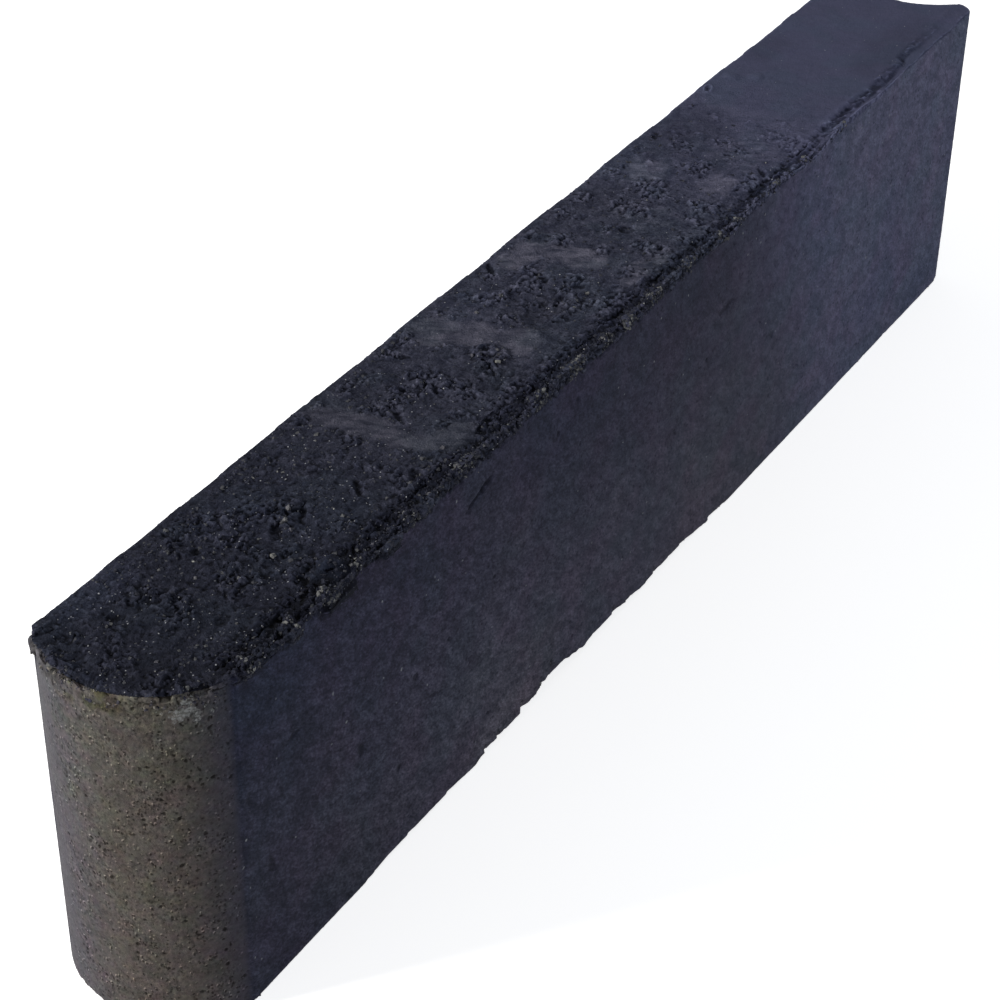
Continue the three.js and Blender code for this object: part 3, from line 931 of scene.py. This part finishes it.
def struck_colour(finish, colours, relief, hollow, smooth):
    """The open top: painted shade in its hollows, painted highlights on its crumbs, and paler where the
    trowel smoothed it.
    """
    kerb, cloud = finish.kerb, finish.cloud
    coat = Coat(finish.nodes, rgba(colours.struck, 0.74))
    coat.cover(kerb.x.ramp(-500, 120), rgba(colours.struck, 1.7))
    coat.dye(kerb.x.ramp(-350, -210), 1.22, 1.19, 1.14)
    coat.cover(kerb.x.ramp(40, 300), rgba(colours.smooth_end))
    streaks = brushed(kerb)
    uneven = cloud(19, 12.0, 3.0, 0.6).ramp(0.34, 0.58) * 0.5 + 0.5
    trowelled = smooth * kerb.x.ramp(280, 180) * streaks.ramp(0.26, 0.56) * uneven
    coat.dye(trowelled, 2.60, 2.42, 2.10)
    coat.dye(streaks.ramp(0.52, 0.34) * (1 - kerb.x.ramp(260, 380) * 0.7), 0.84, 0.85, 0.86)
    for x, y, along, across, share in TONE_SPOTS:
        coat.dye(spot(kerb.x - x, kerb.y - y, along, across, 0), share, share, share)
    grain = (1 - smooth * 0.5) * (1 - kerb.x.ramp(60, 340) * 0.80)
    coat.dye(cloud(12, 34.0).ramp(0.45, 0.62), 0.96, 1.03, 1.00)
    patches = cloud(13, 8.0, 4.0, 0.65)
    coat.dye(patches.ramp(0.50, 0.38) * grain, 0.62, 0.64, 0.70)
    coat.dye(patches.ramp(0.50, 0.64) * grain, 1.50, 1.46, 1.40)
    coat.dye(cloud(14, 2.0, 3.0, 0.7).ramp(0.46, 0.66) * grain, 1.6, 1.56, 1.50)
    lump = kerb.lump()
    # painted shade in the hollow round the lump
    coat.dye(kerb.lump(HOLLOW_WIDER) - lump, 0.50, 0.51, 0.54)
    coat.dye(lump, 0.96, 1.04, 1.08)
    # painted shadow on the sides of the lobes, under the lip
    coat.dye(kerb.lobes() * kerb.z.ramp(kerb.height - 1, kerb.height - 4), 0.34, 0.35, 0.40)
    # painted shade in the pits and the wider hollows, weaker towards the smooth end, and a painted
    # highlight on the crumbs
    deep = 1 - kerb.x.ramp(120, 340) * 0.45
    coat.dye(relief.ramp(-0.04, -0.45) * deep, 0.30, 0.31, 0.35)
    coat.dye(relief.ramp(0.08, 0.5), 1.8, 1.8, 1.74)
    coat.dye(hollow.ramp(-0.2, -1.3) * deep, 0.55, 0.57, 0.60)
    # painted shade in the crumbled band behind the lip, wide by the tongue and narrow far off, kept off
    # the arris itself
    reach = kerb.x.ramp(-100, 150) * -10.0 + 24.0
    ragged = (kerb.inset() + (cloud(16, 9.0, 3.0, 0.6) - 0.5) * reach) / reach
    front = kerb.inset().ramp(6, 3) * (kerb.x.ramp(-60, 120) * 0.5 + 0.5)
    dark = ragged.ramp(1.0, 0.45) * kerb.along_lip() * (1 - front) * (1 - kerb.x.ramp(150, 300) * 0.6)
    coat.dye(dark, 0.44, 0.46, 0.52)
    # painted shadow in the gaps between the lip's crumbs
    gaps = kerb.inset().ramp(3, 5) * kerb.inset().ramp(14, 9) * cloud(18, 9.0, 2.0).ramp(0.44, 0.54)
    coat.dye(gaps * kerb.along_lip(), 0.40, 0.41, 0.44)
    # painted shade in the trench behind the lip towards the far end
    coat.dye(kerb.trench() * kerb.x.ramp(300, 380), 0.62, 0.64, 0.68)
    # pale sand grains painted bright as a glint
    coat.cover(finish.glints() * (1 - smooth * 0.5), (0.40, 0.41, 0.44, 1))
    return coat.colour


def dusty_colour(finish, colours, shade, relief):
    """The weathered tongue: warm dust with dark and pale grains, painted shade in its pits and painted
    highlights on its grains and specks, faint moss and a lime bloom.
    """
    kerb, cloud = finish.kerb, finish.cloud
    coat = Coat(finish.nodes, rgba(colours.dusty))
    coat.dye(kerb.y.ramp(-12, 40), 0.92, 0.99, 1.24)
    coat.dye(kerb.z.ramp(230, 130), 1.00, 0.965, 0.99)
    coat.cover(kerb.y.ramp(-38, -66), shade)
    dusty = (kerb.y.ramp(46, 20) * 0.65 + 0.35) * (kerb.y.ramp(-66, -46) * 0.6 + 0.4)
    hues = finish.nodes.noise(finish.at(36), 8.0, 3.0, 0.65, colour=True)
    coat.cover(dusty * 0.16, hues, "OVERLAY")
    coat.dye(cloud(21, 26.0).ramp(0.48, 0.64) * dusty, 0.98, 1.00, 0.94)
    coat.dye(cloud(22, 18.0).ramp(0.48, 0.64) * dusty, 1.05, 0.99, 1.02)
    coat.dye(cloud(23, 12.0, 3.0, 0.6).ramp(0.56, 0.38) * dusty, 0.80, 0.80, 0.81)
    cluster = cloud(25, 17.0, 3.0, 0.6).ramp(0.44, 0.58)
    grain = cloud(24, 2.8, 3.0, 0.68)
    coat.dye(grain.ramp(0.50, 0.64) * dusty * (cluster * 0.6 + 0.4), 1.46, 1.44, 1.38)
    coat.dye(grain.ramp(0.50, 0.37) * dusty * (cluster * 0.5 + 0.5), 0.60, 0.60, 0.60)
    # painted shade in the pits and a painted highlight on the raised grains
    coat.dye(relief.ramp(-0.03, -0.28), 0.36, 0.35, 0.34)
    coat.dye(relief.ramp(0.05, 0.28) * (cluster * 0.6 + 0.4), 1.45, 1.45, 1.42)
    among = ((cluster * 0.65 + 0.35) * dusty * (kerb.z.ramp(210, 110) * 0.4 + 1)).least(1)
    # dark specks, each with a painted highlight on its side towards the light, as for lit grains
    dots = finish.specks(2.0, 0.50, 26, (1, 1, 0.7), 0.45)
    lit = finish.specks(2.0, 0.26, 26, (1, 1, 0.7), 0.42, shift=(0, -0.6, -0.8)) - dots
    coat.dye(dots * among, 0.34, 0.32, 0.31)
    coat.dye(lit.most(0) * among, 2.9, 2.85, 2.70)
    coat.dye(finish.specks(3.4, 0.26, 37, (1, 1, 0.55), 0.36) * among, 0.45, 0.42, 0.41)
    rim = kerb.z.ramp(kerb.height - 18, kerb.height - 10) * cloud(35, 12.0, 3.0, 0.6).ramp(0.46, 0.58)
    coat.dye(rim * kerb.y.ramp(-34, -18), 0.62, 0.60, 0.58)
    moss = cloud(33, 9.0).ramp(0.50, 0.62) * kerb.z.ramp(kerb.height - 22, kerb.height - 10)
    coat.dye(moss * kerb.y.ramp(-30, -10) * kerb.y.ramp(34, 20), 0.90, 0.94, 0.72)
    coat.cover(lime_bloom(finish), (0.25, 0.26, 0.26, 1))
    return coat.colour


def lime_bloom(finish):
    """The pale patch under the tongue's rim, broken up into streaks and specks."""
    y, z, radius = LIME_BLOOM
    across = (finish.kerb.y - y) / radius
    up = (finish.kerb.z - z) / radius
    torn = (finish.cloud(29, 6.0, 3.0, 0.7) - 0.5) * 6.0
    body = (across * across + up * up + torn).ramp(0.7, 0.0)
    return body * (finish.cloud(34, 1.8, 2.0).ramp(0.40, 0.60) * 0.6 + 0.2)


def concrete(name):
    """Dark cast concrete. The tongue adds its dust to the mould faces, and the top its crumbs to both."""
    colours = settings("colours")
    finish = Finish(f"kerb_{name}")
    nodes, kerb = finish.nodes, finish.kerb
    relief, broken = finish.attribute("relief"), finish.attribute("broken").least(1)
    shade = mould_shade(finish, colours)
    coat = Coat(nodes, mould_colour(finish, shade, relief))
    grain = nodes.noise(finish.place, 1.5, 3.0, 0.7) + finish.cloud(31, 5.0, 1.0) * 0.8
    roughness = 0.86
    if name != "casting":
        short = finish.cloud(38, 14.0, 3.0, 0.6).ramp(0.35, 0.65) * kerb.y.ramp(20, 55) * 9
        coat.cover(kerb.tongue(0, -6, short), dusty_colour(finish, colours, shade, relief))
    coat.dye(broken, 1.25, 1.26, 1.20)
    if name == "struck_top":
        top = finish.attribute("struck").ramp(0.3, 0.7)
        hollow, smooth = finish.attribute("hollow"), finish.attribute("smooth")
        coat.cover(top, struck_colour(finish, colours, relief, hollow, smooth))
        grain = grain * (top * 1.2 + 1) * (1 - kerb.x.ramp(200, 380) * top * 0.6)
        roughness = roughness - finish.glints() * top * 0.45
    return finish.finish(coat.colour, roughness, grain, strength=0.8, depth=0.0008)


def crumb_finish(name, dark, pale):
    """Loose and broken grains: each has its own tone, from dark to pale."""
    made = bpy.data.materials.get(name)
    if made:
        return made
    finish = Finish(name)
    coat = Coat(finish.nodes, rgba(dark))
    coat.cover(finish.attribute("tone"), rgba(pale))
    coat.dye(finish.cloud(41, 1.6, 3.0, 0.6).ramp(0.58, 0.38), 0.50, 0.52, 0.55)
    coat.cover(finish.specks(1.5, 0.05, 42), rgba(pale, 1.8))
    grain = finish.nodes.noise(finish.place, 0.9, 3.0, 0.7)
    return finish.finish(coat.colour, 0.8, grain, strength=0.7, depth=0.0004, specular=0.12)


# Operators ------------------------------------------------------------------------------------

class KERB_OT_casting(bpy.types.Operator):
    """Models the kerb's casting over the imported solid, up to the struck top and the tongue"""
    bl_idname = "kerb.casting"
    bl_label = "Casting"

    def execute(self, context):
        surface = settings("surface")
        _, lid, start, back = seams()
        start = start - back * surface.seam_overlap
        casting = cast("casting", surface.face_step, (lid, UP), (start, -back))
        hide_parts(SOLID)
        return {"FINISHED"}


class KERB_OT_tongue(bpy.types.Operator):
    """Models the round end with its sand grains and pits, finer than the rest of the casting"""
    bl_idname = "kerb.tongue"
    bl_label = "Tongue"

    def execute(self, context):
        _, lid, start, back = seams()
        cast("tongue", settings("surface").tongue_step, (lid, UP), (start, back))
        return {"FINISHED"}


class KERB_OT_struck_top(bpy.types.Operator):
    """Models the struck top with its crumbs and pits, as a finer skin on the casting"""
    bl_idname = "kerb.struck_top"
    bl_label = "Struck top"

    def execute(self, context):
        skin, *_ = seams()
        cast("struck_top", settings("surface").top_step, (skin, DOWN))
        return {"FINISHED"}


def grain_shapes():
    """Broken grains about 1 m across, each cut flat on a few sides, in a collection of their own."""
    made = bpy.data.collections.get("grains")
    if made:
        return made
    collection = bpy.data.collections.new("grains")
    bpy.context.scene.collection.children.link(collection)
    randoms = np.random.default_rng(GRAIN_KINDS)
    for number in range(GRAIN_KINDS):
        deselect_all()
        bpy.ops.mesh.primitive_cube_add(size=1)
        grain = bpy.context.object
        grain.name = f"grain_{number}"
        bpy.ops.object.mode_set(mode="EDIT")
        bpy.ops.transform.vertex_random(offset=0.18, seed=number)
        for _ in range(GRAIN_CUTS):
            side = Vector(randoms.normal(size=3)).normalized()
            bpy.ops.mesh.select_all(action="SELECT")
            bpy.ops.mesh.bisect(plane_co=side * randoms.uniform(0.32, 0.5), plane_no=side,
                                use_fill=True, clear_outer=True)
        bpy.ops.mesh.select_all(action="SELECT")
        bpy.ops.mesh.remove_doubles(threshold=0.08)
        bpy.ops.mesh.quads_convert_to_tris()
        bpy.ops.mesh.normals_make_consistent(inside=False)
        bpy.ops.object.mode_set(mode="OBJECT")
        for holder in grain.users_collection:
            holder.objects.unlink(grain)
        collection.objects.link(grain)
    return collection


def scatter_tree(name, carrier, zone, paleness, per_square, smallest, largest, seed, sink):
    """Scatters grains over the carrier where the zone allows, as real mesh. They are per_square to
    a square metre at most, from smallest to largest across, and sunk by a share of their size."""
    grains = grain_shapes()
    tree = bpy.data.node_groups.new(name, "GeometryNodeTree")
    nodes = entry(tree)
    surface = nodes.add("GeometryNodeObjectInfo", {"transform_space": "RELATIVE"},
                        {0: bpy.data.objects[carrier]}, output=4)
    kerb = Kerb(nodes, nodes.scaled(nodes.add("GeometryNodeInputPosition"), float(MM)))
    spread = nodes.make("GeometryNodeDistributePointsOnFaces", {"distribute_method": "RANDOM"},
                        {"Mesh": surface, "Density": zone(kerb) * float(per_square), "Seed": seed})

    def chance(number, low=0.0, high=1.0):
        return nodes.add("FunctionNodeRandomValue", {"data_type": "FLOAT"},
                         {2: low, 3: high, 8: seed * 10 + number}, output=1)

    size = chance(1) ** 2.2 * (largest - smallest) + smallest
    scale = nodes.joined(size * chance(2, 0.75, 1.2), size * chance(3, 0.75, 1.2),
                         size * chance(4, 0.6, 1.0))
    turn = nodes.joined(*(chance(number, 0, FULL_TURN) for number in (5, 6, 7)))
    tone = chance(8) ** 3 * paleness(kerb)
    points = keep(nodes, nodes.out(spread, "Points"), "tone", tone)
    sunk = nodes.scaled(nodes.out(spread, "Normal"), size * -sink)
    points = nodes.add("GeometryNodeSetPosition", values={"Geometry": points, "Offset": sunk})
    shapes = nodes.add("GeometryNodeCollectionInfo", values={0: grains, 1: True, 2: True})
    placed = nodes.add("GeometryNodeInstanceOnPoints", values={
        "Points": points, "Instance": shapes, "Pick Instance": True, "Rotation": turn, "Scale": scale})
    made = nodes.add("GeometryNodeRealizeInstances", values={0: placed})
    nodes.make("NodeGroupOutput", values={0: made})
    return tree


def scatter(name, finish, carrier, zone, **values):
    """A piece made of the grains that its zone of the carrier holds."""
    piece = bpy.data.objects.new(name, bpy.data.meshes.new(name))
    bpy.context.collection.objects.link(piece)
    apply_modifier(piece, "NODES", node_group=scatter_tree(name, carrier, zone, **values))
    count = triangle_count(piece)
    if not 0 < count < MOST_IN_A_PIECE:
        raise RuntimeError(f"{name} has {count} triangles")
    keep_inside(piece)
    settle(piece, finish)


def lip_zone(kerb):
    """The squeezed lip along the front arris: dense in its clusters, thin between them."""
    band = (kerb.inset() / kerb.lip_band()).ramp(1.0, 0.5) * kerb.along_lip() * kerb.x.ramp(330, 130)
    gaps = kerb.nodes.noise(kerb.nodes.joined(kerb.x, kerb.y, 3.0), 9, 2.0).ramp(0.42, 0.56)
    return band * kerb.below().ramp(9, 4) * (kerb.clusters() * 0.55 + gaps * 0.35 + 0.05)


def lip_paleness(kerb):
    """Crumbs are pale in the lip's clusters, towards the front, and dark elsewhere."""
    return kerb.clusters() * kerb.inset().ramp(7, 3) * 0.95 + 0.08


def grit_zone(kerb):
    """The coarse parts of the struck top."""
    nodes = kerb.nodes
    struck, smooth = nodes.stored("struck"), nodes.stored("smooth")
    cluster = nodes.noise(nodes.shifted(kerb.place, 0, 0, 31), 24, 3.0).ramp(0.44, 0.62)
    fewer = kerb.x.ramp(-330, -150) * -0.30 + 0.65 - kerb.x.ramp(-100, 300) * 0.25
    return (struck.ramp(0.4, 0.8) * kerb.z.ramp(kerb.height - 6, kerb.height - 4) * fewer
            * (0.95 - smooth).most(0) * (cluster * 0.85 + 0.15) * kerb.y.ramp(59, 54))


def grit_paleness(kerb):
    """Grit is a little paler by the tongue."""
    return kerb.x.ramp(-100, -350) * 0.25 + 0.20


def rim_zone(kerb):
    """The crumbled rim of the tongue's top."""
    ragged = kerb.nodes.noise(kerb.place, 10, 2.0).ramp(0.46, 0.6)
    return (kerb.tongue() * kerb.radial().ramp(kerb.radius - 5, kerb.radius - 2)
            * kerb.z.ramp(kerb.height - 14, kerb.height - 8)
            * kerb.z.ramp(kerb.height, kerb.height - 3) * ragged)


def bed_zone(kerb):
    """The broken faces of the bites along the bed's front arris."""
    broken = kerb.nodes.stored("broken").ramp(0.02, 0.1)
    return broken * kerb.inset().ramp(14, 10) * kerb.z.ramp(26, 20)


def even_paleness(kerb):
    """Crumbs of every tone."""
    return 0.9


class KERB_OT_lip_crumbs(bpy.types.Operator):
    """Models the crumbs that the squeezed lip broke into"""
    bl_idname = "kerb.lip_crumbs"
    bl_label = "Lip crumbs"

    def execute(self, context):
        colours = settings("colours")
        scatter("lip_crumbs", crumb_finish("kerb_crumbs", colours.struck, colours.crumb),
                "struck_top", lip_zone, paleness=lip_paleness, per_square=420000,
                smallest=0.0010, largest=0.0029, seed=settings("surface").seed, sink=0.2)
        return {"FINISHED"}


class KERB_OT_top_grit(bpy.types.Operator):
    """Models the loose grit on the coarse parts of the struck top"""
    bl_idname = "kerb.top_grit"
    bl_label = "Top grit"

    def execute(self, context):
        colours = settings("colours")
        scatter("top_grit", crumb_finish("kerb_crumbs", colours.struck, colours.crumb),
                "struck_top", grit_zone, paleness=grit_paleness, per_square=120000,
                smallest=0.0009, largest=0.0027, seed=settings("surface").seed + 1, sink=0.25)
        return {"FINISHED"}


class KERB_OT_edge_crumbs(bpy.types.Operator):
    """Models the crumbs on the rim of the tongue and in the bites of the bed's arris"""
    bl_idname = "kerb.edge_crumbs"
    bl_label = "Edge crumbs"

    def execute(self, context):
        seed = settings("surface").seed
        colours = settings("colours")
        scatter("rim_crumbs", crumb_finish("kerb_rim", colours.bed_near, colours.dust),
                "struck_top", rim_zone, paleness=even_paleness, per_square=160000,
                smallest=0.0009, largest=0.0028, seed=seed + 2, sink=0.1)
        scatter("bed_crumbs", crumb_finish("kerb_bites", colours.bed_near, colours.crumb),
                "casting", bed_zone, paleness=even_paleness, per_square=60000,
                smallest=0.0010, largest=0.0030, seed=seed + 3, sink=0.45)
        return {"FINISHED"}


class KERB_OT_pale_stones(bpy.types.Operator):
    """Models the stones that stand out pale on the top"""
    bl_idname = "kerb.pale_stones"
    bl_label = "Pale stones"

    def execute(self, context):
        top = bpy.data.objects["struck_top"]
        shapes = list(grain_shapes().objects)
        randoms = np.random.default_rng(settings("surface").seed)
        stones = []
        for number, (x, y, size) in enumerate(PALE_STONES):
            over = Vector((x / MM, y / MM, HIGH.z + 0.01))
            hit, place, _, _ = top.ray_cast(over, DOWN)
            if not hit:
                raise RuntimeError(f"stone {number} has nothing under it")
            stone = shapes[number % len(shapes)].copy()
            stone.data = stone.data.copy()
            bpy.context.collection.objects.link(stone)
            turn = Matrix.Rotation(randoms.uniform(0, FULL_TURN), 4, Vector(randoms.normal(size=3)))
            scale = Matrix.Diagonal((*(randoms.uniform(0.7, 1.1, size=3) * size / MM), 1))
            stone.data.transform(Matrix.Translation(place) @ turn @ scale)
            stones.append(stone)
        for stone in stones:
            tone = stone.data.attributes.new("tone", "FLOAT", "POINT")
            level = randoms.uniform(0.1, 0.9)
            tone.data.foreach_set("value", [level] * len(stone.data.vertices))
        only(stones[0])
        for stone in stones:
            stone.select_set(True)
        bpy.ops.object.join()
        piece = bpy.context.object
        piece.name = "pale_stones"
        keep_inside(piece)
        colours = settings("colours")
        settle(piece, crumb_finish("kerb_stones", colours.bed_far, colours.stone))
        return {"FINISHED"}


def seen_straight(nodes):
    """1 for rays from the camera, and for those that gloss or glass sends on."""
    path = nodes.make("ShaderNodeLightPath")
    seen, glossy, through = (nodes.out(path, f"Is {kind} Ray")
                             for kind in ("Camera", "Glossy", "Transmission"))
    return seen.most(glossy).most(through)


class KERB_OT_stage(bpy.types.Operator):
    """Sets the floor, the studio light and the camera"""
    bl_idname = "kerb.stage"
    bl_label = "Stage"

    def execute(self, context):
        stage = settings("stage")
        self.floor(stage)
        self.world(context.scene)
        self.lamps()
        self.camera(context, stage)
        return {"FINISHED"}

    def floor(self, stage):
        bpy.ops.mesh.primitive_plane_add(size=FLOOR_SPAN, location=(0, 0, 0))
        floor = bpy.context.object
        floor.name = "floor"
        material = bpy.data.materials.new("pale_floor")
        nodes = cleared(material)
        seen = seen_straight(nodes)
        matt = nodes.add("ShaderNodeBsdfDiffuse", values={"Color": rgba(stage.floor)})
        lift = nodes.add("ShaderNodeEmission", values={"Color": (1, 1, 1, 1), "Strength": 0.70})
        lifted = nodes.add("ShaderNodeAddShader", values={0: matt, 1: lift})
        shader = nodes.add("ShaderNodeMixShader", values={0: seen, 1: matt, 2: lifted})
        nodes.make("ShaderNodeOutputMaterial", values={0: shader})
        floor.data.materials.append(material)

    def world(self, scene):
        world = bpy.data.worlds.new("studio")
        scene.world = world
        nodes = cleared(world)
        soft = nodes.add("ShaderNodeBackground",
                         values={"Color": (0.93, 0.96, 1.0, 1), "Strength": 0.32})
        white = nodes.add("ShaderNodeBackground", values={"Color": (1, 1, 1, 1), "Strength": 1.0})
        shader = nodes.add("ShaderNodeMixShader", values={0: seen_straight(nodes), 1: soft, 2: white})
        nodes.make("ShaderNodeOutputWorld", values={0: shader})

    def lamps(self):
        for name, place, size, power, colour in LAMPS:
            lamp = bpy.data.lights.new(name, "AREA")
            lamp.shape = "DISK"
            lamp.size = size
            lamp.energy = power
            lamp.color = colour
            light = bpy.data.objects.new(name, lamp)
            bpy.context.collection.objects.link(light)
            light.location = place
            look = LAMP_AIM - Vector(place)
            light.rotation_euler = look.to_track_quat("-Z", "Y").to_euler()

    def camera(self, context, stage):
        camera = bpy.data.objects.new("camera", bpy.data.cameras.new("camera"))
        context.collection.objects.link(camera)
        camera.data.lens = stage.lens
        camera.data.sensor_width = 36
        camera.data.clip_end = 50
        look = Vector(stage.camera_aim) - Vector(stage.camera_place)
        turn = look.to_track_quat("-Z", "Y").to_matrix() @ Matrix.Rotation(stage.camera_roll, 3, "Z")
        camera.matrix_world = Matrix.Translation(stage.camera_place) @ turn.to_4x4()
        context.scene.camera = camera


class KERB_PT_panel(bpy.types.Panel):
    """Lists the kerb's pieces"""
    bl_label = "Kerb stone"
    bl_space_type = "VIEW_3D"
    bl_region_type = "UI"
    bl_category = "Kerb"

    def draw(self, context):
        for operator in PIECES:
            self.layout.operator(operator.bl_idname)
        for group_name, group in GROUPS.items():
            box = self.layout.box()
            for name in group.__annotations__:
                box.prop(getattr(context.scene, group_name), name)


PIECES = (KERB_OT_casting, KERB_OT_tongue, KERB_OT_struck_top, KERB_OT_lip_crumbs, KERB_OT_top_grit,
          KERB_OT_edge_crumbs, KERB_OT_pale_stones, KERB_OT_stage)
GROUPS = {"kerb_sizes": KerbSizes, "kerb_surface": KerbSurface, "kerb_colours": KerbColours,
          "kerb_stage": KerbStage}


def register():
    for group in (*GROUPS.values(), *PIECES, KERB_PT_panel):
        bpy.utils.register_class(group)
    for name, group in GROUPS.items():
        setattr(bpy.types.Scene, name, PointerProperty(type=group))


def unregister():
    for name in GROUPS:
        delattr(bpy.types.Scene, name)
    for group in reversed((*GROUPS.values(), *PIECES, KERB_PT_panel)):
        bpy.utils.unregister_class(group)


def put_away_grains():
    """Removes the single grains, which were only shapes to copy."""
    collection = bpy.data.collections["grains"]
    for grain in list(collection.objects):
        bpy.data.objects.remove(grain)
    bpy.data.collections.remove(collection)


def main():
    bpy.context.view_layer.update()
    register()
    bpy.ops.kerb.casting()
    bpy.ops.kerb.tongue()
    bpy.ops.kerb.struck_top()
    bpy.ops.kerb.lip_crumbs()
    bpy.ops.kerb.top_grit()
    bpy.ops.kerb.edge_crumbs()
    bpy.ops.kerb.pale_stones()
    put_away_grains()
    bpy.ops.kerb.stage()
    scene = bpy.context.scene
    scene.view_settings.view_transform = "Standard"


if __name__ == "__main__":
    main()
